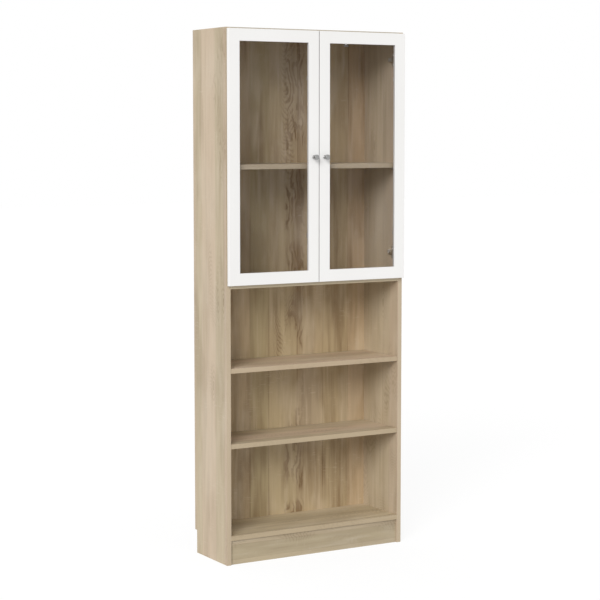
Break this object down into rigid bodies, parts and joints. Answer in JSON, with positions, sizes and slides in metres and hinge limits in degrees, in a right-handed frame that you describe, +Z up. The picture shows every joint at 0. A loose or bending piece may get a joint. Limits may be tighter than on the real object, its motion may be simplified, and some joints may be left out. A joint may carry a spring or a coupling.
{
  "type": "bookcase",
  "caption": "Tall bookcase of light oak-decor board: a glazed cupboard with hinged, white framed doors and small metal knobs over open shelves, on a recessed plinth.",
  "frame": {"origin": "on the floor, at the middle of the footprint of the whole object, doors and knobs included", "axes": "+X to the right along the width as seen from the front, +Y from the front to the back, +Z up; the doors face -Y"},
  "size_m": [0.788, 0.312, 2.03],
  "materials": {
    "oak_side": "light oak decor, grain upright",
    "oak_shelf": "light oak decor, grain along the width",
    "oak_back": "light oak decor on hardboard, grain upright",
    "pin_steel": "nickel plated",
    "cam_alloy": "die-cast, plain",
    "bolt_steel": "zinc plated",
    "beech_dowel": "plain beech",
    "bracket_steel": "zinc plated",
    "white_frame": "fibreboard under white silk lacquer",
    "pane": "clear",
    "clip_steel": "zinc plated",
    "knob_metal": "satin nickel",
    "bumper": "soft, translucent",
    "hinge_steel": "nickel plated"
  },
  "bodies": {
    "case": {"left_side": "oak_side", "right_side": "oak_side", "top_panel": "oak_shelf", "divider": "oak_shelf", "bottom_shelf": "oak_shelf", "plinth": "oak_shelf", "low_shelf": "oak_shelf", "high_shelf": "oak_shelf", "glazed_shelf": "oak_shelf", "upper_back": "oak_back", "lower_back": "oak_back", "shelf_pins": "pin_steel", "cam_locks": "cam_alloy", "cam_bolts": "bolt_steel", "dowels": "beech_dowel", "wall_brackets": "bracket_steel", "left_hinge_plates": "hinge_steel", "left_hinge_arms": "hinge_steel", "right_hinge_plates": "hinge_steel", "right_hinge_arms": "hinge_steel"},
    "left_door": {"left_door_frame": "white_frame", "left_glass": "pane", "left_glass_clips": "clip_steel", "left_knob": "knob_metal", "left_bumpers": "bumper", "left_hinge_cups": "hinge_steel", "left_hinge_pins": "hinge_steel"},
    "right_door": {"right_door_frame": "white_frame", "right_glass": "pane", "right_glass_clips": "clip_steel", "right_knob": "knob_metal", "right_bumpers": "bumper", "right_hinge_cups": "hinge_steel", "right_hinge_pins": "hinge_steel"}
  },
  "joints": [
    {"name": "left_door_hinge", "type": "hinge", "parent": "case", "child": "left_door", "pos_m": [-0.3828, -0.1235, 1.546], "axis": [0, 0, -1], "range_deg": [0, 95]},
    {"name": "right_door_hinge", "type": "hinge", "parent": "case", "child": "right_door", "pos_m": [0.3828, -0.1235, 1.546], "axis": [0, 0, 1], "range_deg": [0, 95]}
  ]
}
